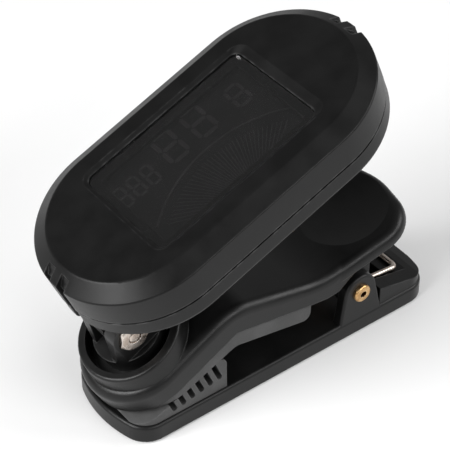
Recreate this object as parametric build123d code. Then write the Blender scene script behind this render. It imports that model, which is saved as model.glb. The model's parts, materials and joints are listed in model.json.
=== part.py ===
from build123d import *

import os
from math import atan, cos, degrees, radians, sin, tan

# Clip-on instrument tuner, millimetres, +Z up.
# X runs along the clip: the jaw mouth faces -X and the thumb lever ends at +X. Y = 0 is the middle plane.
# Three local systems are used:
#   clip   - X runs from just behind the tip of the lower jaw, Z from just above its underside
#   swivel - origin at the tilt pivot, Z along the leaning swivel axis
#   head   - origin at the middle of the head's front rim, X along the head, Z out of the display

os.makedirs("parts", exist_ok=True)

# ---------------------------------------------------------------- lower jaw
NOSE_X = -0.4
TAIL_X = 64.5
JAW_HALF = 10.05
PLATE_BOTTOM = -0.5
PLATE_TOP = 3.2
NOSE_SAG = 2.4
TAIL_SAG = 1.8
PLATE_CORNER = 4.6
CHEEK_THICK = 1.9
CHEEK_RADIUS = 3.5
CHEEK_FRONT = 42.8
CHEEK_REAR = 52.3
DECK_FRONT = 52.0
DECK_HIGH = 6.8
DECK_LOW = 4.7
POCKET_HALF = 6.75
POCKET_REAR = 60.4
SHELF_FRONT = 56.6

# ---------------------------------------------------------------- clip hinge and spring
PIN_X = 47.2
PIN_Z = 8.9
PIN_R = 1.25
PIN_HOLLOW_R = 0.65
PIN_HEAD_R = 1.7
PIN_HEAD_THICK = 0.7
HINGE_PLAY = 0.06
WIRE_R = 0.5
COIL_R = 2.15
COIL_TURNS = 3.0
COIL_PITCH = 1.12
LEG_Y = 5.75
BRIDGE_X = 59.0
BRIDGE_Z = 5.55
FREE_TIP_X = 49.3
FREE_TIP_Z = 15.5
FREE_LEG_LEAN = 17.0

# ---------------------------------------------------------------- grip pads
CONTACT_TILT = 23.4
CONTACT_X = 7.7
CONTACT_Z = 6.1
CONTACT_GAP = 0.12
PAD_FRONT = 1.1
PAD_REAR = 18.7
PAD_HALF = 9.6
PAD_PEG_R = 1.6
PAD_PEG_DEEP = 1.6
GROOVE_COUNT = 6
GROOVE_PITCH = 1.82
GROOVE_WIDTH = 0.95
GROOVE_LEAN = 22.0
GROOVE_FIRST_X = 8.1
GROOVE_DEPTH = 1.9
GROOVE_DEEPENS = 0.43
LINER_BEND_X = 20.4
LINER_REAR = 36.2
LINER_REAR_Z = 8.95
LINER_HALF = 9.7

# ---------------------------------------------------------------- upper jaw
SHOULDER_TILT = 28.0
SHOULDER_X = 14.0
SHOULDER_Z = 17.1
SKIRT_X = 13.3
SKIRT_Z = 11.0
RIDGE_X = 19.8
RIDGE_R = 9.0
WAIST_X = 39.8
WAIST_Z = 15.47
WAIST_R = 17.0
WALL = 1.7
ROOF = 1.9
SHOULDER_R = 1.8
NOSE_SHIFT = 0.8
THUMB_X = 41.5
THUMB_Z = 16.1
THUMB_TILT = 20.5
THUMB_REACH = 18.5
THUMB_THICK = 2.8
THUMB_END_R = 14.0
THUMB_CORNER_R = 6.8
THUMB_CORNER_Y = 4.5
DISH_RADIUS = 26.0
DISH_DEPTH = 1.3
DISH_REACH = 10.0
EAR_INNER = 6.5
EAR_OUTER = 8.0
EAR_R = 3.4

# ---------------------------------------------------------------- swivel, measured from the tilt pivot
PIVOT_X = 3.6
PIVOT_Z = 20.2
COLLAR_TOP = -4.5
COLLAR_BASE = -7.6
COLLAR_R_TOP = 9.0
COLLAR_R_BASE = 9.5
CUP_R = 7.6
CUP_FLOOR = -7.3
NECK_FLOOR = -9.5
DRUM_R = 6.0
DRUM_BASE = -7.2
DRUM_TOP = -4.1
STEM_R = 2.2
BORE_PLAY = 0.06
FORK_GAP = 2.3
FORK_FACE = 4.9
FORK_EAR_R = 3.7
PIVOT_BOLT_R = 1.2
NUT_FLATS = 5.0
NUT_THICK = 2.0
NUT_SEAT = 3.5
BOLT_HEAD_R = 2.4
BOLT_HEAD_THICK = 1.6
WASHER_THICK = 0.25

# ---------------------------------------------------------------- head
HEAD_TILT = 22.64
HEAD_X = 21.45
HEAD_Z = 45.41
HEAD_LENGTH = 62.4
HEAD_WIDTH = 33.0
BEVEL_IN = 2.76
BEVEL_HIGH = 1.95
RIM_R = 0.35
SEAM_Z = -5.24
SEAM_GAP = 0.45
BACK_Z = -9.3
BACK_INSET = 0.08
HEAD_WALL = 1.6
BACK_WALL = 1.0
LEDGE_Z = -0.45
WINDOW_LENGTH = 31.9
WINDOW_WIDTH = 20.6
WINDOW_CORNER = 1.5
WINDOW_X = -0.4
WINDOW_FLOOR = 0.35
WINDOW_THICK = 0.75
RECESS_LIP = 1.45
RECESS_NEAR_X = 0.75
RECESS_FAR_X = 1.75
RECESS_Y = 0.7
RECESS_CORNER = 2.2
END_GROOVE_Y = 1.8
END_GROOVE_WIDTH = 1.8
END_GROOVE_DEEP = 0.8
END_GROOVE_TOP = 2.0
HATCH_X = 16.0
HATCH_R = 11.0
TAB_R = 12.1
TAB_ANGLE = 20.0
TAB_TURN = 30.0
CELL_R = 10.0
CELL_THICK = 3.2
CELL_TOP = -4.5
BOARD_TOP = -3.45
BOARD_THICK = 0.8
BUTTON_X = -8.0
BUTTON_R = 3.0
BUTTON_PLAY = 0.08
PIEZO_X = -23.2
TONGUE_HALF = 1.9
TONGUE_R = 3.4
SCREW_SPOTS = [(-24.0, 9.0), (-24.0, -9.0), (2.0, 12.7), (2.0, -12.7)]

CLIP = Location((-(NOSE_X + TAIL_X) / 2, 0, -PLATE_BOTTOM))
SWIVEL = CLIP * Plane(
    origin=(PIVOT_X, 0, PIVOT_Z),
    x_dir=(cos(radians(SHOULDER_TILT)), 0, sin(radians(SHOULDER_TILT))),
    z_dir=(-sin(radians(SHOULDER_TILT)), 0, cos(radians(SHOULDER_TILT))),
).location
HEAD = CLIP * Plane(
    origin=(HEAD_X, 0, HEAD_Z),
    x_dir=(cos(radians(HEAD_TILT)), 0, sin(radians(HEAD_TILT))),
    z_dir=(-sin(radians(HEAD_TILT)), 0, cos(radians(HEAD_TILT))),
).location


# ---------------------------------------------------------------- shared shapes
def side_profile(points, y_low, y_high):
    """Solid with an XZ outline, spanning y_low to y_high."""
    face = Plane.XZ * make_face(Polyline(*points, close=True))
    return Pos(0, y_high, 0) * extrude(face, amount=y_high - y_low, dir=(0, -1, 0))


def across(radius, x, z, y_low, y_high):
    """Cylinder lying along Y."""
    middle = (y_low + y_high) / 2
    return Pos(x, middle, z) * Rot(90, 0, 0) * Cylinder(radius, y_high - y_low)


def upright(radius, z_low, z_high, x=0.0, y=0.0):
    """Cylinder standing along Z."""
    return Pos(x, y, (z_low + z_high) / 2) * Cylinder(radius, z_high - z_low)


def block(x_span, y_span, z_span):
    """Box given by its limits on each axis."""
    sizes = [high - low for low, high in (x_span, y_span, z_span)]
    middle = [(high + low) / 2 for low, high in (x_span, y_span, z_span)]
    return Pos(*middle) * Box(*sizes)


def capsule(length, width, z_low, z_high):
    """Stadium-shaped slab of the head."""
    return Pos(0, 0, z_low) * extrude(SlotOverall(length, width), z_high - z_low)


def lug(pivot_x, pivot_z, radius, base_points, y_low, y_high):
    """Rounded lug: a disc at the pivot blended by tangents into a base line."""
    disc = Pos(pivot_x, pivot_z) * Circle(radius)
    outline = make_hull(disc.edges() + Polyline(*base_points).edges())
    face = Plane.XZ * outline
    return Pos(0, y_high, 0) * extrude(face, amount=y_high - y_low, dir=(0, -1, 0))


def both_sides(shape):
    """A shape and its mirror image across the middle plane."""
    return shape + mirror(shape, about=Plane.XZ)


def contact_z(x):
    """Height of the line where the two grip pads meet."""
    return CONTACT_Z + (x - CONTACT_X) * tan(radians(CONTACT_TILT))


def shoulder_z(x):
    """Height of the sloping shoulder on top of the upper jaw."""
    return SHOULDER_Z + (x - SHOULDER_X) * tan(radians(SHOULDER_TILT))


def skirt_z(x):
    """Height of the lower edge of the upper jaw's front skirt."""
    return SKIRT_Z + (x - SKIRT_X) * tan(radians(SHOULDER_TILT))


def plate_outline(inset, z_low, z_high):
    """Plan of the lower jaw: straight sides, shallow arcs front and rear, rounded corners."""
    half = JAW_HALF - inset
    nose_r = (JAW_HALF**2 + NOSE_SAG**2) / (2 * NOSE_SAG)
    tail_r = (JAW_HALF**2 + TAIL_SAG**2) / (2 * TAIL_SAG)
    slab = block((NOSE_X + inset, TAIL_X - inset), (-half, half), (z_low, z_high))
    middle = (NOSE_X + TAIL_X) / 2
    nose = upright(nose_r - inset, z_low, z_high, x=NOSE_X + nose_r)
    slab &= nose + block((middle, TAIL_X), (-half, half), (z_low, z_high))
    tail = upright(tail_r - inset, z_low, z_high, x=TAIL_X - tail_r)
    slab &= tail + block((NOSE_X, middle), (-half, half), (z_low, z_high))
    corners = slab.edges().filter_by(Axis.Z)
    return fillet(corners, PLATE_CORNER - inset)


def nose_column(radius, x_reach, t_low, t_high):
    """Round nose of the upper jaw, drawn along the leaning swivel axis and run back at full width."""
    plan = Circle(radius) + Pos(x_reach / 2, 0) * Rectangle(x_reach, 2 * radius)
    column = Pos(0, 0, t_low) * extrude(plan, t_high - t_low)
    return CLIP.inverse() * SWIVEL * column


# ---------------------------------------------------------------- lower jaw
def lower_jaw():
    plate = plate_outline(0, PLATE_BOTTOM, PLATE_TOP)
    plate = chamfer(plate.edges().group_by(Axis.Z)[0], 0.45)
    plate = fillet(plate.edges().group_by(Axis.Z)[-1], 0.6)

    deck_line = [
        (DECK_FRONT, PLATE_TOP - 0.6),
        (DECK_FRONT, DECK_HIGH),
        (DECK_FRONT + 2.2, DECK_HIGH - 0.5),
        (TAIL_X - 2.6, DECK_LOW),
        (TAIL_X - 0.6, DECK_LOW - 0.6),
        (TAIL_X - 0.6, PLATE_TOP - 0.6),
    ]
    deck = side_profile(deck_line, -JAW_HALF, JAW_HALF)
    deck &= plate_outline(0.35, 0, DECK_HIGH + 1)
    deck -= block((0, SHELF_FRONT), (-POCKET_HALF, POCKET_HALF), (0, DECK_HIGH + 1))
    shelf_z = BRIDGE_Z - WIRE_R - 0.05
    deck -= block((0, POCKET_REAR), (-POCKET_HALF, POCKET_HALF), (shelf_z, DECK_HIGH + 1))

    base = [(CHEEK_FRONT, PLATE_TOP - 0.6), (CHEEK_REAR, PLATE_TOP - 0.6)]
    cheek = lug(PIN_X, PIN_Z, CHEEK_RADIUS, base, JAW_HALF - 0.1 - CHEEK_THICK, JAW_HALF - 0.1)
    outer = cheek.faces().sort_by(Axis.Y)[-1]
    cheek = fillet(outer.edges().filter_by(lambda e: e.center().Z > PLATE_TOP), 0.5)
    body = plate + deck + both_sides(cheek)
    body -= across(PIN_R + 0.01, PIN_X, PIN_Z, -JAW_HALF - 1, JAW_HALF + 1)
    for x in (6.0, 14.5):
        body -= upright(PAD_PEG_R + 0.05, PLATE_TOP - PAD_PEG_DEEP - 0.1, PLATE_TOP + 1, x=x)
    return body


def lower_grip_pad():
    half_gap = CONTACT_GAP / 2
    line = [
        (PAD_FRONT, PLATE_TOP),
        (PAD_FRONT + 0.6, contact_z(PAD_FRONT + 0.6) - half_gap),
        (PAD_REAR - 0.1, contact_z(PAD_REAR - 0.1) - half_gap),
        (PAD_REAR, PLATE_TOP),
    ]
    pad = side_profile(line, -PAD_HALF, PAD_HALF)
    rear_top = pad.edges().filter_by(Axis.Y).sort_by(Axis.Z)[-1]
    pad = fillet(rear_top, 1.5)
    pad &= plate_outline(0.55, 0, 14)
    nose = Pos(11.2, 0, PLATE_TOP + 4) * Cone(12.4, 9.4, 8)
    pad &= nose + block((11.2, 30), (-PAD_HALF, PAD_HALF), (0, 14))
    lean = Rot(0, -GROOVE_LEAN, 0)
    for i in range(GROOVE_COUNT):
        x = GROOVE_FIRST_X + i * GROOVE_PITCH
        tip_z = contact_z(x) - GROOVE_DEPTH - GROOVE_DEEPENS * i
        slot = lean * block((-GROOVE_WIDTH / 2, GROOVE_WIDTH / 2), (-12, 12), (0, 8))
        slot += across(GROOVE_WIDTH / 2, 0, 0, -12, 12)
        pad -= Pos(x, 0, tip_z) * slot
    for x in (6.0, 14.5):
        pad += upright(PAD_PEG_R, PLATE_TOP - PAD_PEG_DEEP, PLATE_TOP + 0.3, x=x)
    return pad


def hinge_pin():
    reach = JAW_HALF - 0.1
    pin = across(PIN_R, PIN_X, PIN_Z, -reach, reach)
    for side in (-1, 1):
        seat = reach * side
        tip = (reach + PIN_HEAD_THICK) * side
        head = across(PIN_HEAD_R, PIN_X, PIN_Z, min(seat, tip), max(seat, tip))
        rim = head.faces().sort_by(Axis.Y)[-1 if side > 0 else 0]
        pin += fillet(rim.edges(), 0.45)
    pin -= across(PIN_HOLLOW_R, PIN_X, PIN_Z, -reach - 2, reach + 2)
    return pin


def torsion_spring():
    """Double torsion spring: two coils on the pin, one square bridge on the base, two free legs."""
    start = degrees(atan((PIN_Z - BRIDGE_Z) / (BRIDGE_X - PIN_X)))
    free = degrees(atan((FREE_TIP_Z - PIN_Z) / (FREE_TIP_X - PIN_X))) - FREE_LEG_LEAN
    coil_len = COIL_TURNS * COIL_PITCH
    helix = Helix(COIL_PITCH, coil_len, COIL_R)
    section = Plane(helix @ 0, z_dir=helix % 0) * Circle(WIRE_R)
    coil = sweep(section, path=helix, is_frenet=True)
    inner = LEG_Y - coil_len
    near = Pos(PIN_X, -LEG_Y, PIN_Z) * Rot(-90, 0, 0) * Rot(0, 0, 90 + start) * coil
    low = (PIN_X - COIL_R * sin(radians(start)), PIN_Z - COIL_R * cos(radians(start)))
    wires = near
    wires += wire_rod((low[0], -LEG_Y, low[1]), (BRIDGE_X, -LEG_Y, BRIDGE_Z))
    wires += wire_rod((BRIDGE_X, -LEG_Y, BRIDGE_Z), (BRIDGE_X, 0, BRIDGE_Z))
    wires += Pos(BRIDGE_X, -LEG_Y, BRIDGE_Z) * Sphere(WIRE_R)
    high = (PIN_X - COIL_R * sin(radians(free)), PIN_Z + COIL_R * cos(radians(free)))
    wires += wire_rod((high[0], -inner, high[1]), (FREE_TIP_X, -inner, FREE_TIP_Z))
    return wires + mirror(wires, about=Plane.XZ)


def wire_rod(start, end):
    """Round wire between two points."""
    line = Line(start, end)
    return sweep(Plane(line @ 0, z_dir=line % 0) * Circle(WIRE_R), path=line)


# ---------------------------------------------------------------- upper jaw
def jaw_front():
    """Round-nosed wedge that carries the swivel, square to the leaning swivel axis."""
    reach = 10.8
    depth = (shoulder_z(SKIRT_X) - SKIRT_Z) * cos(radians(SHOULDER_TILT))
    plan = Circle(JAW_HALF) + Pos((reach + NOSE_SHIFT) / 2, 0) * Rectangle(reach + NOSE_SHIFT, 2 * JAW_HALF)
    plan = Pos(-NOSE_SHIFT, 0) * plan
    front = Pos(0, 0, COLLAR_BASE - depth) * extrude(plan, depth)
    rim = front.edges().group_by(Axis.Z)[-1].filter_by(lambda e: e.center().X < reach - 0.1)
    return CLIP.inverse() * SWIVEL * fillet(rim, SHOULDER_R)


def jaw_waist():
    """Middle of the lever, between the ridge and the thumb pad."""
    front_x = RIDGE_X - 4.6
    outline = [
        (front_x, shoulder_z(front_x)),
        (RIDGE_X, shoulder_z(RIDGE_X)),
        (WAIST_X, WAIST_Z),
        (46.5, 17.97),
        (46.5, 15.4),
        (44.5, 13.9),
        (42.0, 12.0),
        (39.5, 11.75),
        (LINER_REAR, 12.15),
        (LINER_BEND_X, skirt_z(LINER_BEND_X)),
        (front_x, skirt_z(front_x)),
    ]
    waist = side_profile(outline, -JAW_HALF, JAW_HALF)
    for x, z, radius in ((RIDGE_X, shoulder_z(RIDGE_X), RIDGE_R), (WAIST_X, WAIST_Z, WAIST_R)):
        edge = waist.edges().filter_by(Axis.Y).sort_by_distance((x, 0, z))[0]
        waist = fillet(edge, radius)
    high = waist.edges().filter_by(lambda e: e.center().Z > WAIST_Z - 0.05)
    rim = high.filter_by(lambda e: abs(e.center().Y) > JAW_HALF - 0.1 and e.center().X < 46.4)
    return fillet(rim, SHOULDER_R)


def on_thumb_slope(shape):
    slope = radians(THUMB_TILT)
    place = Plane(
        origin=(THUMB_X, 0, THUMB_Z),
        x_dir=(cos(slope), 0, sin(slope)),
        z_dir=(-sin(slope), 0, cos(slope)),
    ).location
    return place * shape


def thumb_pad():
    """Tilted slab with a blunt rounded end."""
    end = Pos(THUMB_REACH - THUMB_END_R, 0) * Circle(THUMB_END_R)
    tip = end & (Pos(THUMB_REACH, 0) * Rectangle(THUMB_CORNER_R, THUMB_CORNER_R))
    edges = tip.edges()
    for side in (-1, 1):
        corner = Pos(THUMB_REACH - THUMB_CORNER_R - 0.7, side * THUMB_CORNER_Y)
        edges += (corner * Circle(THUMB_CORNER_R)).edges()
    edges += Polyline((0, -JAW_HALF), (0, JAW_HALF)).edges()
    slab = Pos(0, 0, -THUMB_THICK) * extrude(make_hull(edges), THUMB_THICK)
    for group, radius in ((-1, SHOULDER_R), (0, 0.6)):
        rim = slab.edges().group_by(Axis.Z)[group]
        slab = fillet(rim.filter_by(lambda e: e.center().X > 0.1), radius)
    return on_thumb_slope(slab)


def thumb_dish():
    """Ball that leaves a shallow hollow for the thumb."""
    ball = Rot(90, 0, 0) * Sphere(DISH_RADIUS)
    return on_thumb_slope(Pos(DISH_REACH, 0, DISH_RADIUS - DISH_DEPTH) * ball)


def upper_jaw():
    body = jaw_front() + jaw_waist() + thumb_pad() - thumb_dish()

    collar = Pos(0, 0, (COLLAR_TOP + COLLAR_BASE - 1) / 2) * Cone(
        COLLAR_R_BASE, COLLAR_R_TOP, COLLAR_TOP - COLLAR_BASE + 1
    )
    collar = fillet(collar.edges().group_by(Axis.Z)[-1], 0.5)
    into_clip = CLIP.inverse() * SWIVEL
    body += into_clip * collar

    hollow = [
        (22.4, 4.0),
        (22.4, shoulder_z(RIDGE_X) - ROOF - 1.3),
        (WAIST_X, WAIST_Z - ROOF),
        (46.0, 17.4 - ROOF - 0.6),
        (46.0, 4.0),
    ]
    inner = JAW_HALF - WALL
    body -= side_profile(hollow, -inner, inner)

    body -= into_clip * upright(CUP_R, CUP_FLOOR, 4)
    body -= into_clip * upright(STEM_R + BORE_PLAY, NECK_FLOOR - 1, CUP_FLOOR + 1)
    body -= into_clip * upright(7.2, -18, NECK_FLOOR)

    base = [(44.0, 15.9), (50.6, 18.2)]
    body += both_sides(lug(PIN_X, PIN_Z, EAR_R, base, EAR_INNER, EAR_OUTER))
    body -= across(PIN_R + HINGE_PLAY, PIN_X, PIN_Z, -9, 9)
    return body


def upper_grip_liner():
    half_gap = CONTACT_GAP / 2
    line = [
        (-4.0, contact_z(-4.0) + half_gap),
        (LINER_BEND_X, contact_z(LINER_BEND_X) + half_gap),
        (LINER_REAR - 0.1, LINER_REAR_Z - 0.25),
        (LINER_REAR, 12.15),
        (LINER_BEND_X, skirt_z(LINER_BEND_X)),
        (-4.0, skirt_z(-4.0)),
    ]
    liner = side_profile(line, -LINER_HALF, LINER_HALF)
    cross = liner.edges().filter_by(Axis.Y)
    rear_low = cross.sort_by_distance((LINER_REAR, 0, LINER_REAR_Z))[0]
    bend = cross.sort_by_distance((LINER_BEND_X, 0, contact_z(LINER_BEND_X)))[0]
    liner = fillet(rear_low, 1.4)
    bend = liner.edges().filter_by(Axis.Y).sort_by_distance((LINER_BEND_X, 0, 11.6))[0]
    liner = fillet(bend, 3.0)
    liner &= nose_column(LINER_HALF, 40.0, -30, 8)
    return liner


# ---------------------------------------------------------------- swivel (swivel coordinates)
def swivel_fork():
    drum = upright(DRUM_R, DRUM_BASE, DRUM_TOP)
    base = [(-5.2, DRUM_TOP - 1), (5.2, DRUM_TOP - 1)]
    ear = lug(0, 0, FORK_EAR_R, base, FORK_GAP, FORK_FACE)
    ears = both_sides(ear) & upright(DRUM_R, -8, 6)
    body = drum + ears
    body += upright(STEM_R, NECK_FLOOR - 0.05, DRUM_BASE + 0.5)
    body -= across(PIVOT_BOLT_R + 0.02, 0, 0, -8, 8)
    body -= across(BOLT_HEAD_R + 0.15, 0, 0, NUT_SEAT, 8)
    hexagon = RegularPolygon((NUT_FLATS + 0.2) / 2, 6, major_radius=False)
    body -= Pos(0, -NUT_SEAT, 0) * extrude(Plane.XZ * hexagon, 4)
    body -= upright(1.0, NECK_FLOOR - 1, DRUM_BASE + 2.6)
    return body


def swivel_washer():
    low = NECK_FLOOR - 0.9
    return upright(4.6, low, NECK_FLOOR - 0.08) - upright(1.1, low - 1, NECK_FLOOR)


def swivel_screw():
    seat = NECK_FLOOR - 0.95
    screw = upright(2.3, seat - 1.3, seat)
    screw = fillet(screw.edges().group_by(Axis.Z)[0], 0.5)
    screw += upright(0.97, seat - 0.2, DRUM_BASE + 2.2)
    for angle in (0, 90):
        screw -= Pos(0, 0, seat - 1.1) * Rot(0, 0, angle) * Box(2.6, 0.6, 0.8)
    return screw


def pivot_bolt():
    bolt = across(BOLT_HEAD_R, 0, 0, NUT_SEAT + 0.02, NUT_SEAT + BOLT_HEAD_THICK)
    bolt = fillet(bolt.faces().sort_by(Axis.Y)[-1].edges(), 0.7)
    shank = across(PIVOT_BOLT_R, 0, 0, -NUT_SEAT - NUT_THICK - 0.1, NUT_SEAT + 0.2)
    tip = shank.faces().sort_by(Axis.Y)[0]
    bolt += fillet(tip.edges(), 0.5)
    for angle in (0, 90):
        slot = Pos(0, NUT_SEAT + BOLT_HEAD_THICK, 0) * Rot(0, angle, 0) * Box(3.0, 1.6, 0.65)
        bolt -= slot
    return bolt


def pivot_nut():
    hexagon = RegularPolygon(NUT_FLATS / 2, 6, major_radius=False)
    nut = Pos(0, -NUT_SEAT - 0.02, 0) * extrude(Plane.XZ * hexagon, NUT_THICK)
    face = nut.faces().sort_by(Axis.Y)[0]
    corner = upright(NUT_FLATS * 0.56, 0, NUT_THICK)
    corner = chamfer(corner.edges().group_by(Axis.Z)[-1], 0.35)
    nut &= Pos(0, -NUT_SEAT - 0.02, 0) * Rot(90, 0, 0) * corner
    return nut - across(PIVOT_BOLT_R + 0.02, 0, 0, face.center().Y - 1, 0)


def friction_washers():
    outer = FORK_GAP - 0.02
    ring = across(3.3, 0, 0, outer - WASHER_THICK, outer)
    ring -= across(PIVOT_BOLT_R + 0.05, 0, 0, 0, outer + 1)
    return [ring, mirror(ring, about=Plane.XZ)]


# ---------------------------------------------------------------- head (head coordinates)
def pivot_in_head():
    """Tilt pivot seen from the head's own origin."""
    dx = PIVOT_X - HEAD_X
    dz = PIVOT_Z - HEAD_Z
    tilt = radians(HEAD_TILT)
    return dx * cos(tilt) + dz * sin(tilt), -dx * sin(tilt) + dz * cos(tilt)


def end_grooves():
    """Pairs of grip notches that run over the bevel and down the side at both ends of the head."""
    end = HEAD_LENGTH / 2
    line = [
        (end - END_GROOVE_TOP, BEVEL_HIGH + 1),
        (end - END_GROOVE_TOP, BEVEL_HIGH - 0.85),
        (end - END_GROOVE_TOP + 0.5, BEVEL_HIGH - 1.45),
        (end - END_GROOVE_DEEP, -0.55),
        (end - END_GROOVE_DEEP, BACK_Z - 1),
        (end + 2, BACK_Z - 1),
        (end + 2, BEVEL_HIGH + 1),
    ]
    half = END_GROOVE_WIDTH / 2
    notch = side_profile(line, END_GROOVE_Y - half, END_GROOVE_Y + half)
    pair = both_sides(notch)
    return pair + mirror(pair, about=Plane.YZ)


def window_slab(grow, z_low, z_high):
    corner = max(WINDOW_CORNER + grow / 2, 0.5)
    plan = RectangleRounded(WINDOW_LENGTH + grow, WINDOW_WIDTH + grow, corner)
    return Pos(WINDOW_X, 0, z_low) * extrude(plan, z_high - z_low)


def front_cover():
    rim = SlotOverall(HEAD_LENGTH, HEAD_WIDTH)
    plateau = SlotOverall(HEAD_LENGTH - 2 * BEVEL_IN, HEAD_WIDTH - 2 * BEVEL_IN)
    cover = capsule(HEAD_LENGTH, HEAD_WIDTH, SEAM_Z, 0)
    cover += loft([rim, Pos(0, 0, BEVEL_HIGH) * plateau])
    top = cover.edges().group_by(Axis.Z)[-1]
    cover = fillet(top, 0.7)
    cover = fillet(cover.edges().filter_by(lambda e: abs(e.center().Z) < 0.01), RIM_R)
    cover -= end_grooves()
    cover -= capsule(HEAD_LENGTH - 2 * HEAD_WALL, HEAD_WIDTH - 2 * HEAD_WALL, SEAM_Z - 1, LEDGE_Z)
    low = RectangleRounded(WINDOW_LENGTH, WINDOW_WIDTH, WINDOW_CORNER)
    high_length = WINDOW_LENGTH + RECESS_NEAR_X + RECESS_FAR_X
    high = RectangleRounded(high_length, WINDOW_WIDTH + 2 * RECESS_Y, RECESS_CORNER)
    high_x = WINDOW_X + (RECESS_FAR_X - RECESS_NEAR_X) / 2
    cover -= loft([Pos(WINDOW_X, 0, RECESS_LIP) * low, Pos(high_x, 0, BEVEL_HIGH + 0.02) * high])
    cover -= window_slab(0, WINDOW_FLOOR, RECESS_LIP + 0.01)
    cover -= window_slab(-3.2, LEDGE_Z - 1, WINDOW_FLOOR + 0.5)
    for x, y in SCREW_SPOTS:
        post = upright(1.9, BACK_Z + BACK_WALL + 0.05, LEDGE_Z + 0.3, x=x, y=y)
        cover += post - upright(0.76, BACK_Z, LEDGE_Z - 1.2, x=x, y=y)
    return cover


def rear_cover():
    length = HEAD_LENGTH - 2 * BACK_INSET
    width = HEAD_WIDTH - 2 * BACK_INSET
    top = SEAM_Z - SEAM_GAP
    cover = capsule(length, width, BACK_Z, top)
    cover = fillet(cover.edges().group_by(Axis.Z)[0], 1.1)
    cover -= end_grooves()
    floor = BACK_Z + BACK_WALL
    lip_out = 2 * HEAD_WALL + 0.14
    lip_in = lip_out + 2.0
    cover -= capsule(HEAD_LENGTH - lip_in, HEAD_WIDTH - lip_in, floor, top + 1)
    lip = capsule(HEAD_LENGTH - lip_out, HEAD_WIDTH - lip_out, top - 0.5, top + 1.2)
    lip -= capsule(HEAD_LENGTH - lip_in, HEAD_WIDTH - lip_in, top - 1, top + 2)
    cover += lip
    for x, y in SCREW_SPOTS:
        cover -= upright(1.98, floor, top + 2, x=x, y=y)
        cover -= upright(1.05, BACK_Z - 1, floor + 1, x=x, y=y)
        cover -= Pos(x, y, BACK_Z + 0.35) * Cone(2.05, 1.05, 0.9)

    cover -= upright(HATCH_R + 0.1, BACK_Z - 1, floor + 0.02, x=HATCH_X)
    for angle in (90, 210, 330):
        cover -= tab_sector(TAB_R + 0.2, TAB_ANGLE + 4, angle + TAB_TURN, BACK_Z - 1, floor + 0.02)
    cover -= upright(BUTTON_R + BUTTON_PLAY, BACK_Z - 1, floor + 1, x=BUTTON_X)

    px, pz = pivot_in_head()
    base = [(px - 3.1, BACK_Z + 0.4), (px + 8.0, BACK_Z + 0.4)]
    tongue = lug(px, pz, TONGUE_R, base, -TONGUE_HALF, TONGUE_HALF)
    cover += tongue
    cover -= across(PIVOT_BOLT_R + 0.05, px, pz, -6, 6)
    return cover


def tab_sector(radius, width, angle, z_low, z_high):
    """Sector of a ring around the battery hatch, width in degrees, centred on angle."""
    wedge = upright(radius, z_low, z_high) - upright(HATCH_R - 0.7, z_low - 1, z_high + 1)
    reach = radius + 2
    half = radians(width / 2)
    tri = Polyline((0, 0), (reach, -reach * tan(half)), (reach, reach * tan(half)), close=True)
    mask = Pos(0, 0, z_low) * extrude(make_face(tri), z_high - z_low)
    return Pos(HATCH_X, 0, 0) * Rot(0, 0, angle) * (wedge & mask)


def battery_hatch():
    inner = BACK_Z + BACK_WALL
    hatch = upright(HATCH_R, BACK_Z, inner + 0.07)
    hatch = fillet(hatch.edges().group_by(Axis.Z)[0], 0.25)
    hatch += upright(HATCH_R, inner, inner + 0.67) - upright(HATCH_R - 0.7, inner, inner + 1)
    hatch -= Pos(0, 0, BACK_Z + 0.15) * Box(10.0, 1.7, 0.6)
    hatch = Pos(HATCH_X, 0, 0) * hatch
    for angle in (90, 210, 330):
        hatch += tab_sector(TAB_R, TAB_ANGLE, angle, inner + 0.07, inner + 0.67)
    return hatch


def display_window():
    return window_slab(-0.2, WINDOW_FLOOR + 0.02, WINDOW_FLOOR + WINDOW_THICK)


def lcd_panel():
    z_top = LEDGE_Z - 0.05
    glass = block((-16.4, 15.6), (-10.2, 10.2), (z_top - 0.75, z_top))
    glass += block((-16.4, 15.6), (-10.2, 9.0), (z_top - 1.6, z_top - 0.75))
    return glass


def light_guide():
    return block((-17.0, 14.0), (-8.4, 8.2), (-3.35, -2.15))


def backlight_leds():
    return [block((-19.0, -17.3), (y - 1.5, y + 1.5), (BOARD_TOP, -2.3)) for y in (-4.0, 4.0)]


def zebra_strip():
    return block((-14.0, 5.0), (9.05, 10.15), (BOARD_TOP + 0.01, -1.27))


def circuit_board():
    board = block((-21.3, 6.0), (-10.5, 10.5), (BOARD_TOP - BOARD_THICK, BOARD_TOP))
    return fillet(board.edges().filter_by(Axis.Z), 1.0)


def chip_blob():
    low = BOARD_TOP - BOARD_THICK
    blob = upright(3.1, low - 1.0, low, x=-1.8, y=-5.6)
    return fillet(blob.edges().group_by(Axis.Z)[0], 0.8)


def crystal_can():
    low = BOARD_TOP - BOARD_THICK
    can = block((-18.5, -14.0), (4.0, 6.2), (low - 1.6, low))
    return fillet(can.edges().filter_by(Axis.Z), 0.9)


def power_switch():
    low = BOARD_TOP - BOARD_THICK
    body = block((BUTTON_X - 2.2, BUTTON_X + 2.2), (-2.2, 2.2), (low - 1.25, low))
    return body + upright(1.0, low - 1.6, low - 1.2, x=BUTTON_X)


def power_button():
    inner = BACK_Z + BACK_WALL
    cap = upright(BUTTON_R, BACK_Z - 0.35, inner + 0.2, x=BUTTON_X)
    cap = fillet(cap.edges().group_by(Axis.Z)[0], 0.4)
    cap += upright(BUTTON_R + 0.9, inner + 0.06, inner + 0.6, x=BUTTON_X)
    return cap + upright(1.0, inner + 0.4, BOARD_TOP - BOARD_THICK - 1.95, x=BUTTON_X)


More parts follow.
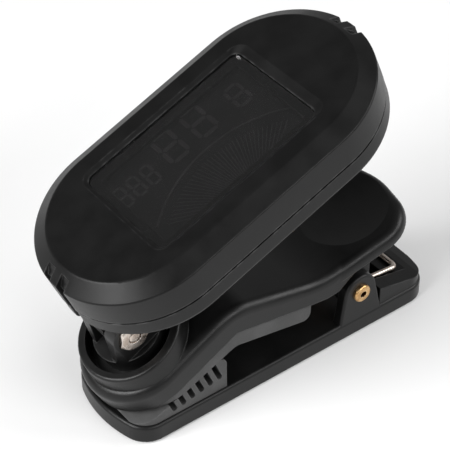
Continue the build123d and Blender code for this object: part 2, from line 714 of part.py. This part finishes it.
def coin_cell():
    cell = upright(CELL_R, CELL_TOP - CELL_THICK, CELL_TOP - 0.4, x=HATCH_X)
    cell = fillet(cell.edges().group_by(Axis.Z)[0], 0.5)
    cap = upright(CELL_R - 1.3, CELL_TOP - 0.5, CELL_TOP, x=HATCH_X)
    return cell + cap


def cell_contact_top():
    low = BOARD_TOP - BOARD_THICK
    return block((3.0, HATCH_X + 1.5), (-1.5, 1.5), (low - 0.22, low))


def cell_contact_side():
    low = BOARD_TOP - BOARD_THICK
    foot = block((3.0, 9.5), (8.6, 10.25), (low - 0.22, low))
    plate = block((9.0, 20.0), (CELL_R + 0.05, CELL_R + 0.25), (-6.9, low))
    return foot + plate


def piezo_disc():
    low = BACK_Z + BACK_WALL + 0.05
    return upright(4.6, low, low + 0.2, x=PIEZO_X)


def piezo_ceramic():
    low = BACK_Z + BACK_WALL + 0.25
    return upright(3.3, low, low + 0.2, x=PIEZO_X)


def case_screws():
    screws = []
    for x, y in SCREW_SPOTS:
        shank = upright(0.74, BACK_Z + 0.5, BACK_Z + 5.2, x=x, y=y)
        head = Pos(x, y, BACK_Z + 0.47) * Cone(1.85, 0.85, 0.8)
        screw = head + shank
        for angle in (0, 90):
            screw -= Pos(x, y, BACK_Z + 0.1) * Rot(0, 0, angle) * Box(2.2, 0.45, 0.7)
        screws.append(screw)
    return screws


# ---------------------------------------------------------------- assembly
IN_CLIP = [lower_jaw, lower_grip_pad, hinge_pin, torsion_spring, upper_jaw, upper_grip_liner]
IN_SWIVEL = [swivel_fork, swivel_washer, swivel_screw, pivot_bolt, pivot_nut, friction_washers]
IN_HEAD = [
    front_cover,
    rear_cover,
    battery_hatch,
    display_window,
    lcd_panel,
    light_guide,
    backlight_leds,
    zebra_strip,
    circuit_board,
    chip_blob,
    crystal_can,
    power_switch,
    power_button,
    coin_cell,
    cell_contact_top,
    cell_contact_side,
    piezo_disc,
    piezo_ceramic,
    case_screws,
]

for place, makers in ((CLIP, IN_CLIP), (SWIVEL, IN_SWIVEL), (HEAD, IN_HEAD)):
    for maker in makers:
        made = maker()
        solids = made if isinstance(made, list) else [made]
        placed = [place * solid for solid in solids]
        shape = placed[0] if len(placed) == 1 else Compound(children=placed)
        export_step(shape, f"parts/{maker.__name__}.step")
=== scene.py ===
import json
from math import acos, atan2, cos, pi, radians, sin

import bpy
from mathutils import Matrix, Vector


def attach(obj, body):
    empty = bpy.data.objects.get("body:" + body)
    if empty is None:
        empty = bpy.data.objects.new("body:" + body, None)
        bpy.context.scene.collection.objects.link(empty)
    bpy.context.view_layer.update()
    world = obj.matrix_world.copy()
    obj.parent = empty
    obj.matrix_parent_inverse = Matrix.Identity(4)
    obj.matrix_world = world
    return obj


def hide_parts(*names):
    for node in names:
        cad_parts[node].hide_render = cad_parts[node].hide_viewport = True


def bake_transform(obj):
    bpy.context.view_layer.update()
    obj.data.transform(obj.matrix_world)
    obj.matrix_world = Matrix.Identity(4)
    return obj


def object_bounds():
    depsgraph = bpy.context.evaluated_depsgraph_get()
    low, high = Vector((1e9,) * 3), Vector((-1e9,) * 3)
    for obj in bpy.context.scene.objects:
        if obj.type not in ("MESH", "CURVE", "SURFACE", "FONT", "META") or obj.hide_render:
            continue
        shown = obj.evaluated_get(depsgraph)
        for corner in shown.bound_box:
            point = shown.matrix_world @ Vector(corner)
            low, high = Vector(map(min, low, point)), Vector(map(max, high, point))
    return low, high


# Clip-on tuner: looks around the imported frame. All lengths are metres unless a name ends in _MM.
MM = 0.001

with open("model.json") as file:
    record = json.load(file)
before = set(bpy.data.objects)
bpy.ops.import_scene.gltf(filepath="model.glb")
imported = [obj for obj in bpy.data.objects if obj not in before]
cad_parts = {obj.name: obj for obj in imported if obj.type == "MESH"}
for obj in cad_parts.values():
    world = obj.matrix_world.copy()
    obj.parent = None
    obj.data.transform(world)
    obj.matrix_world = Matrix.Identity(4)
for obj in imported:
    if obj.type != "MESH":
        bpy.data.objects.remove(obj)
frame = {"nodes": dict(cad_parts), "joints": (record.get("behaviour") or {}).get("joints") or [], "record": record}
nodes = frame["nodes"]
record = frame["record"]
joints = {joint["name"]: joint for joint in frame["joints"]}
cad_low, cad_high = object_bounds()


# ---------------------------------------------------------------- places read from the frame
HINGE = Vector(joints["jaw_hinge"]["pos_m"])
HEAD_NORMAL = Vector(joints["button_press"]["axis"]).normalized()
HEAD_ALONG = Vector((HEAD_NORMAL.z, 0, -HEAD_NORMAL.x))
HATCH_ALONG = 16.0 * MM
BACK_DEPTH = 9.3 * MM
HEAD_ORIGIN = Vector(joints["hatch_turn"]["pos_m"]) - HEAD_ALONG * HATCH_ALONG + HEAD_NORMAL * BACK_DEPTH
HEAD = Matrix.Translation(HEAD_ORIGIN) @ Matrix(
    (
        (HEAD_ALONG.x, 0, HEAD_NORMAL.x),
        (HEAD_ALONG.y, 1, HEAD_NORMAL.y),
        (HEAD_ALONG.z, 0, HEAD_NORMAL.z),
    )
).to_4x4()


# ---------------------------------------------------------------- material building
def grey(value, warm=0.0):
    return (value * (1 + warm), value, value * (1 - warm), 1.0)


class Graph:
    """A Principled material and short calls for the nodes that feed it."""

    def __init__(self, name):
        self.material = bpy.data.materials.new(name)
        self.material.use_nodes = True
        self.tree = self.material.node_tree
        self.tree.nodes.clear()
        out = self.add("ShaderNodeOutputMaterial")
        self.shader = self.add("ShaderNodeBsdfPrincipled")
        self.link(self.shader.outputs[0], out.inputs[0])
        self.place = self.add("ShaderNodeTexCoord").outputs["Object"]

    def add(self, kind):
        return self.tree.nodes.new(kind)

    def link(self, source, target):
        self.tree.links.new(source, target)

    def feed(self, socket, value):
        if hasattr(value, "is_linked"):
            self.link(value, socket)
        else:
            socket.default_value = value

    def noise(self, size, detail=2.0, stretch=None, roughness=0.5):
        node = self.add("ShaderNodeTexNoise")
        node.inputs["Scale"].default_value = 1.0 / size
        node.inputs["Detail"].default_value = detail
        node.inputs["Roughness"].default_value = roughness
        where = self.place
        if stretch:
            mapping = self.add("ShaderNodeMapping")
            mapping.inputs["Scale"].default_value = stretch
            self.link(self.place, mapping.inputs["Vector"])
            where = mapping.outputs[0]
        self.link(where, node.inputs["Vector"])
        return node.outputs["Fac"]

    def spread(self, value, low, high, to_low=0.0, to_high=1.0):
        node = self.add("ShaderNodeMapRange")
        node.inputs["From Min"].default_value = low
        node.inputs["From Max"].default_value = high
        node.inputs["To Min"].default_value = to_low
        node.inputs["To Max"].default_value = to_high
        self.link(value, node.inputs["Value"])
        return node.outputs[0]

    def math(self, kind, first, second):
        node = self.add("ShaderNodeMath")
        node.operation = kind
        self.feed(node.inputs[0], first)
        self.feed(node.inputs[1], second)
        return node.outputs[0]

    def blend(self, factor, first, second):
        node = self.add("ShaderNodeMix")
        node.data_type = "RGBA"
        self.feed(node.inputs[0], factor)
        self.feed(node.inputs[6], first)
        self.feed(node.inputs[7], second)
        return node.outputs[2]

    def rounded(self, radius):
        node = self.add("ShaderNodeBevel")
        node.samples = 6
        node.inputs["Radius"].default_value = radius
        return node.outputs[0]

    def edges(self, width):
        """1 along sharp edges and 0 on open faces."""
        flat = self.add("ShaderNodeNewGeometry").outputs["Normal"]
        dot = self.add("ShaderNodeVectorMath")
        dot.operation = "DOT_PRODUCT"
        self.link(self.rounded(width), dot.inputs[0])
        self.link(flat, dot.inputs[1])
        return self.spread(dot.outputs["Value"], 0.985, 0.80)

    def bump(self, height, distance, normal=None, strength=1.0):
        node = self.add("ShaderNodeBump")
        node.inputs["Distance"].default_value = distance
        node.inputs["Strength"].default_value = strength
        self.link(height, node.inputs["Height"])
        if normal is not None:
            self.link(normal, node.inputs["Normal"])
        return node.outputs[0]


def surface(name, low, high, rough, grain, patch=5.0, metallic=0.0, edge_wear_and_highlight=None, round_mm=0.12, **sockets):
    """Mottled, grained finish. Sizes in millimetres; rough, grain = (low, high) and (size, height)."""
    g = Graph(name)
    mottle = g.noise(patch * MM, 4.0)
    fine = g.noise(grain[0] * MM, 2.0)
    colour = g.blend(g.spread(mottle, 0.36, 0.64), low, high)
    mixed = g.math("ADD", g.math("MULTIPLY", mottle, 0.6), g.math("MULTIPLY", fine, 0.4))
    roughness = g.spread(mixed, 0.38, 0.62, rough[0], rough[1])
    # Lighter colour along sharp edges, broken into noise patches: real edge wear on the rubbers and epoxy, and on
    # head_plastic and clip_plastic a painted highlight along the rims and fillets.
    if edge_wear_and_highlight:
        width, tone, amount = edge_wear_and_highlight
        edge_patches = g.spread(g.noise(1.7 * MM, 3.0), 0.44, 0.62, 0.15, 1.0)
        lighter_edge_mix = g.math("MULTIPLY", g.math("MULTIPLY", g.edges(width * MM), edge_patches), amount)
        colour = g.blend(lighter_edge_mix, colour, tone)
        roughness = g.math("SUBTRACT", roughness, g.math("MULTIPLY", lighter_edge_mix, 0.12))
    g.link(colour, g.shader.inputs["Base Color"])
    g.link(roughness, g.shader.inputs["Roughness"])
    g.link(g.bump(fine, grain[1] * MM, g.rounded(round_mm * MM)), g.shader.inputs["Normal"])
    g.shader.inputs["Metallic"].default_value = metallic
    for key, value in sockets.items():
        g.shader.inputs[key.replace("_", " ")].default_value = value
    return g


def brushed(name, low, high, rough, stretch, height, wear_tone, round_mm=0.1):
    """Metal with fine lines along one way, tarnish in patches and brighter edges."""
    g = Graph(name)
    stain = g.noise(1.6 * MM, 4.0)
    lines = g.noise(0.5 * MM, 3.0, stretch=stretch)
    colour = g.blend(g.spread(stain, 0.38, 0.66), low, high)
    lighter_edge_mix = g.math("MULTIPLY", g.edges(0.25 * MM), 0.6)
    colour = g.blend(lighter_edge_mix, colour, wear_tone)
    mixed = g.math("ADD", g.math("MULTIPLY", stain, 0.5), g.math("MULTIPLY", lines, 0.5))
    g.link(colour, g.shader.inputs["Base Color"])
    g.link(g.spread(mixed, 0.36, 0.64, rough[0], rough[1]), g.shader.inputs["Roughness"])
    g.link(g.bump(lines, height * MM, g.rounded(round_mm * MM)), g.shader.inputs["Normal"])
    g.shader.inputs["Metallic"].default_value = 1.0
    return g


def smoked_glass(name):
    g = Graph(name)
    haze = g.noise(6.0 * MM, 3.0)
    scratches = g.noise(0.9 * MM, 3.0, stretch=(0.15, 2.5, 1.0))
    g.link(g.spread(haze, 0.3, 0.7, 0.02, 0.07), g.shader.inputs["Roughness"])
    g.link(g.blend(g.spread(haze, 0.35, 0.65), grey(0.42), grey(0.47)), g.shader.inputs["Base Color"])
    g.link(g.bump(scratches, 0.0004 * MM), g.shader.inputs["Normal"])
    g.shader.inputs["Transmission Weight"].default_value = 1.0
    g.shader.inputs["IOR"].default_value = 1.45
    return g


def circuit_green(name):
    """Solder mask with pale tracks showing through."""
    g = surface(name, (0.012, 0.10, 0.035, 1), (0.02, 0.15, 0.05, 1), (0.3, 0.42), (0.3, 0.004))
    cells = g.add("ShaderNodeTexVoronoi")
    cells.feature = "DISTANCE_TO_EDGE"
    cells.inputs["Scale"].default_value = 1.0 / (2.2 * MM)
    g.link(g.place, cells.inputs["Vector"])
    track = g.spread(cells.outputs["Distance"], 0.07, 0.04)
    base = g.shader.inputs["Base Color"].links[0].from_socket
    g.link(g.blend(track, base, (0.05, 0.24, 0.08, 1)), g.shader.inputs["Base Color"])
    return g


PALE_WEAR = (0.22, grey(0.10), 0.5)
finishes = {
    "clip_plastic": surface(
        "clip_plastic",
        grey(0.0035),
        grey(0.006),
        (0.30, 0.40),
        (0.16, 0.009),
        # painted highlight: the lighter edge tone stands in for the light caught by the clip's rounded edges
        edge_wear_and_highlight=(0.5, grey(0.05), 0.6),
        round_mm=0.25,
        Specular_IOR_Level=0.27,
    ),
    "head_plastic": surface(
        "head_plastic",
        grey(0.0035),
        grey(0.0055),
        (0.32, 0.42),
        (0.14, 0.009),
        # painted highlight: the lighter edge tone stands in for the bright line of light along the head's rim and
        # window recess edges
        edge_wear_and_highlight=(0.6, grey(0.09), 0.8),
        round_mm=0.12,
        Specular_IOR_Level=0.2,
    ),
    "grip_rubber": surface(
        "grip_rubber", grey(0.040), grey(0.062), (0.62, 0.8), (0.2, 0.014), edge_wear_and_highlight=(0.4, grey(0.12), 0.5)
    ),
    "brass": brushed(
        "brass",
        (0.50, 0.29, 0.12, 1),
        (0.78, 0.53, 0.27, 1),
        (0.2, 0.42),
        (1, 6, 1),
        0.006,
        (0.95, 0.75, 0.5, 1),
    ),
    "nickel_steel": brushed(
        "nickel_steel",
        (0.42, 0.35, 0.30, 1),
        (0.70, 0.63, 0.57, 1),
        (0.2, 0.38),
        (1, 5, 1),
        0.005,
        grey(0.85),
    ),
    "lcd_glass": surface("lcd_glass", grey(0.0100), grey(0.0120), (0.3, 0.4), (0.12, 0.001), round_mm=0.05),
    "diffuser": surface("diffuser", grey(0.70), grey(0.80), (0.4, 0.5), (0.3, 0.002)),
    "zebra_rubber": surface(
        "zebra_rubber", (0.45, 0.22, 0.3, 1), (0.58, 0.32, 0.4, 1), (0.6, 0.7), (0.2, 0.01)
    ),
    "epoxy_black": surface("epoxy_black", grey(0.006), grey(0.012), (0.2, 0.3), (0.5, 0.01), edge_wear_and_highlight=PALE_WEAR),
    "switch_steel": brushed("switch_steel", grey(0.5), grey(0.65), (0.25, 0.4), (4, 1, 1), 0.004, grey(0.85)),
    "cell_steel": brushed("cell_steel", grey(0.6), grey(0.75), (0.15, 0.3), (1, 4, 1), 0.003, grey(0.9)),
    "contact_steel": brushed(
        "contact_steel", (0.6, 0.5, 0.33, 1), (0.75, 0.66, 0.45, 1), (0.2, 0.35), (4, 1, 1), 0.004, grey(0.9)
    ),
    "ceramic": surface("ceramic", grey(0.6, 0.02), grey(0.72, 0.03), (0.4, 0.5), (0.2, 0.006)),
    "button_rubber": surface(
        "button_rubber", grey(0.014), grey(0.022), (0.5, 0.62), (0.15, 0.01), edge_wear_and_highlight=(0.25, grey(0.07), 0.5)
    ),
    "led_white": surface("led_white", (0.7, 0.68, 0.45, 1), (0.8, 0.78, 0.6, 1), (0.25, 0.35), (0.3, 0.003)),
}
finishes["smoked_window"] = smoked_glass("smoked_window")
finishes["board_green"] = circuit_green("board_green")

for part in record["subparts"]:
    node = nodes[part["node"]]
    finish = finishes[part["material_slot"]].material
    node.data.materials.clear()
    node.data.materials.append(finish)


# ---------------------------------------------------------------- mesh building
def new_piece(name, points, faces, finish, smooth=False):
    mesh = bpy.data.meshes.new(name)
    mesh.from_pydata([tuple(point) for point in points], [], faces)
    mesh.validate()
    for polygon in mesh.polygons:
        polygon.use_smooth = smooth
    mesh.materials.append(finish)
    piece = bpy.data.objects.new(name, mesh)
    bpy.context.scene.collection.objects.link(piece)
    return piece


def tube(path, radius, sides=14):
    """Round wire along a path, with domed ends."""
    points, faces = [], []
    tangents = []
    last = len(path) - 1
    for i in range(last + 1):
        tangents.append((path[min(i + 1, last)] - path[max(i - 1, 0)]).normalized())
    side = tangents[0].orthogonal().normalized()
    rings = [(path[0] - tangents[0] * radius * DOME_OUT, DOME_SCALE, 0)]
    rings += [(point, 1.0, i) for i, point in enumerate(path)]
    rings += [(path[-1] + tangents[-1] * radius * DOME_OUT, DOME_SCALE, last)]
    for centre, scale, i in rings:
        tangent = tangents[i]
        side = (side - tangent * side.dot(tangent)).normalized()
        other = tangent.cross(side)
        for k in range(sides):
            turn = 2 * pi * k / sides
            points.append(centre + (side * cos(turn) + other * sin(turn)) * radius * scale)
    for r in range(len(rings) - 1):
        for k in range(sides):
            a = r * sides + k
            b = r * sides + (k + 1) % sides
            faces.append((a, b, b + sides, a + sides))
    faces.append(tuple(reversed(range(sides))))
    faces.append(tuple(range(len(points) - sides, len(points))))
    return points, faces


def plates(outlines, z_low, z_high):
    """Thin plates in head coordinates, one for each closed outline (millimetres)."""
    points, faces = [], []
    for outline in outlines:
        start = len(points)
        count = len(outline)
        for z in (z_low, z_high):
            points += [HEAD @ Vector((x * MM, y * MM, z * MM)) for x, y in outline]
        faces.append(tuple(start + i for i in reversed(range(count))))
        faces.append(tuple(start + count + i for i in range(count)))
        for i in range(count):
            j = (i + 1) % count
            faces.append((start + i, start + j, start + count + j, start + count + i))
    return points, faces


# ---------------------------------------------------------------- torsion spring
WIRE_R = 0.5 * MM
COIL_R = 2.15 * MM
LEG_Y = 5.75 * MM
COIL_INNER_Y = 2.39 * MM
DOME_OUT = 0.35
DOME_SCALE = 0.55
BRIDGE = Vector((11.8 * MM, -3.35 * MM))
FREE_TIP = Vector((2.1 * MM, 6.6 * MM))
CORNER_R = 0.9 * MM
TURNS = 3


def tangent_turn(point, below):
    """Angle on the coil where a straight leg to the point leaves it."""
    lean = acos(COIL_R / point.length)
    middle = atan2(point.y, point.x)
    return middle - lean if below else middle + lean


def spring_path(side):
    """Half of the spring, from the middle of the bridge to the tip of the free leg."""
    flat = [Vector((BRIDGE.x, 0.0))]
    path = []
    start = tangent_turn(BRIDGE, True)
    leave = tangent_turn(FREE_TIP, False)
    first = Vector((cos(start), sin(start))) * COIL_R
    leg = (first - BRIDGE).normalized()
    for i in range(9):
        path.append(Vector((BRIDGE.x, i / 8 * (LEG_Y - CORNER_R), BRIDGE.y)))
    for i in range(1, 8):
        turn = pi / 2 * i / 8
        along = CORNER_R * (1 - cos(turn))
        out_y = LEG_Y - CORNER_R + CORNER_R * sin(turn)
        path.append(Vector((BRIDGE.x + leg.x * along, out_y, BRIDGE.y + leg.y * along)))
    for i in range(10):
        spot = BRIDGE + leg * CORNER_R + (first - BRIDGE - leg * CORNER_R) * i / 10
        path.append(Vector((spot.x, LEG_Y, spot.y)))
    sweep = (start - leave) % (2 * pi) + TURNS * 2 * pi
    steps = 96
    for i in range(steps + 1):
        turn = start - sweep * i / steps
        y = LEG_Y + (COIL_INNER_Y - LEG_Y) * i / steps
        path.append(Vector((cos(turn) * COIL_R, y, sin(turn) * COIL_R)))
    last = Vector((cos(leave), sin(leave))) * COIL_R
    for i in range(1, 9):
        spot = last + (FREE_TIP - last) * i / 8
        path.append(Vector((spot.x, COIL_INNER_Y, spot.y)))
    return [HINGE + Vector((p.x, p.y * side, p.z)) for p in path]


near = spring_path(-1)
far = spring_path(1)
spring_points, spring_faces = tube(list(reversed(far)) + near[1:], WIRE_R)
wire_finish = finishes["nickel_steel"].material
spring = new_piece("torsion_spring_wire", spring_points, spring_faces, wire_finish, True)
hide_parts("torsion_spring")
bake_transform(spring)


# ---------------------------------------------------------------- display marks (millimetres)
MARK_LOW = -0.497
MARK_HIGH = -0.470
SEGMENT_SHAPES = {
    "top": ((0, 1), (1, 1)),
    "middle": ((0, 0.5), (1, 0.5)),
    "bottom": ((0, 0), (1, 0)),
    "upper_left": ((0, 0.5), (0, 1)),
    "upper_right": ((1, 0.5), (1, 1)),
    "lower_left": ((0, 0), (0, 0.5)),
    "lower_right": ((1, 0), (1, 0.5)),
}


def bar(start, end, width, gap):
    """Six-sided display segment between two points."""
    a, b = Vector(start), Vector(end)
    along = (b - a).normalized()
    a = a + along * gap
    b = b - along * gap
    out = Vector((-along.y, along.x)) * width / 2
    nib = along * width / 2
    return [a, a + nib - out, b - nib - out, b, b - nib + out, a + nib + out]


def digit(x, y, wide, high, width):
    outlines = []
    for start, end in SEGMENT_SHAPES.values():
        a = (x + start[0] * wide, y + start[1] * high)
        b = (x + end[0] * wide, y + end[1] * high)
        outlines.append(bar(a, b, width, width * 0.22))
    return outlines


def arc_band(centre_y, radius, width, x_span, steps=40):
    """Curved band of the meter, as short quads."""
    outlines = []
    for i in range(steps):
        ends = []
        for k in (i, i + 1):
            x = x_span[0] + (x_span[1] - x_span[0]) * k / steps
            turn = acos(max(-1, min(1, x / radius)))
            ends.append(Vector((cos(turn), sin(turn))))
        inner, outer = radius - width / 2, radius + width / 2
        quad = [ends[0] * inner, ends[1] * inner, ends[1] * outer, ends[0] * outer]
        outlines.append([(p.x + 0.35, p.y + centre_y) for p in quad])
    return outlines


def meter_ticks(count, spread_deg, focus, outer_middle, outer_side, floor_y):
    """Fan of thin lines converging towards a focus below the display."""
    hub = 5.2
    shortest = 1.0
    wide = 0.15
    outlines = []
    for i in range(count):
        share = 2 * i / (count - 1) - 1
        lean = radians(spread_deg) * share
        way = Vector((sin(lean), cos(lean)))
        reach = outer_middle + (outer_side - outer_middle) * share**2
        start = max((floor_y - focus.y) / way.y, hub)
        if start > reach - shortest:
            continue
        side = Vector((way.y, -way.x)) * wide / 2
        a = focus + way * start
        b = focus + way * reach
        outlines.append([a - side * 0.6, a + side * 0.6, b + side, b - side])
    return outlines


marks = []
marks += arc_band(-21.4, 21.7, 0.35, (-14.1, 14.1))
marks += meter_ticks(37, 56.0, Vector((-0.1, -14.3)), 12.75, 14.8, -9.5)
for i in range(3):
    marks += digit(-14.8 + i * 2.75, 1.8, 1.7, 4.2, 0.5)
for x in (-4.6, 1.4):
    marks += digit(x, 2.4, 3.3, 6.4, 0.75)
marks += digit(9.2, 2.1, 2.6, 4.6, 0.6)
mark_points, mark_faces = plates(marks, MARK_LOW, MARK_HIGH)
mark_finish = surface("display_mark", grey(0.062), grey(0.072), (0.34, 0.42), (0.12, 0.001), round_mm=0.02)
display_marks = new_piece("display_marks", mark_points, mark_faces, mark_finish.material)
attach(display_marks, "head")


# ---------------------------------------------------------------- floor, light, camera
def area_light(name, place, aim, size, power):
    light = bpy.data.lights.new(name, "AREA")
    light.shape = "RECTANGLE"
    light.size, light.size_y = size
    light.energy = power
    lamp = bpy.data.objects.new(name, light)
    lamp.location = place
    lamp.rotation_euler = (Vector(aim) - Vector(place)).to_track_quat("-Z", "Y").to_euler()
    bpy.context.scene.collection.objects.link(lamp)


def make_floor():
    half = 3.0
    count = 12
    step = 2 * half / count
    line = [-half + i * step for i in range(count + 1)]
    points = [(x, y, cad_low.z - 0.02 * MM) for y in line for x in line]
    faces = []
    for j in range(count):
        for i in range(count):
            a = j * (count + 1) + i
            faces.append((a, a + 1, a + count + 2, a + count + 1))
    paper = surface("floor_paper", grey(0.86), grey(0.88), (0.75, 0.85), (0.8, 0.004), patch=60.0)
    floor = new_piece("floor", points, faces, paper.material)


def make_world():
    world = bpy.data.worlds.new("studio")
    world.use_nodes = True
    back = world.node_tree.nodes["Background"]
    back.inputs["Color"].default_value = (1, 1, 1, 1)
    back.inputs["Strength"].default_value = 0.30
    bpy.context.scene.world = world


TARGET = Vector((-0.66, 7.91, 20.5)) * MM
DISTANCE = 287.0 * MM
CAMERA_AZIMUTH = -37.206
CAMERA_ELEVATION = 40.355
CAMERA_ROLL = 0.18
LENS_MM = 135.43


def make_camera():
    data = bpy.data.cameras.new("camera")
    data.lens = LENS_MM
    data.sensor_width = 36.0
    data.clip_start = 0.01
    data.clip_end = 20.0
    camera = bpy.data.objects.new("camera", data)
    a, e, roll = radians(CAMERA_AZIMUTH), radians(CAMERA_ELEVATION), radians(CAMERA_ROLL)
    back = Vector((sin(a) * cos(e), -cos(a) * cos(e), sin(e)))
    right = Vector((cos(a), sin(a), 0))
    up = back.cross(right)
    turned_right = right * cos(roll) + up * sin(roll)
    turned_up = up * cos(roll) - right * sin(roll)
    axes = Matrix((turned_right, turned_up, back)).transposed()
    camera.matrix_world = Matrix.Translation(TARGET + back * DISTANCE) @ axes.to_4x4()
    bpy.context.scene.collection.objects.link(camera)
    bpy.context.scene.camera = camera


make_floor()
make_world()
make_camera()
LIGHT_AIM = (0, 0, 0.02)
area_light("left", (-0.75, 0.05, 0.5), LIGHT_AIM, (0.6, 0.45), 9.5)
area_light("front", (0.1, -0.75, 0.55), LIGHT_AIM, (0.7, 0.25), 3.6)
area_light("right", (0.7, -0.4, 0.55), LIGHT_AIM, (0.5, 0.4), 3.6)
bpy.context.scene.view_settings.view_transform = "Standard"
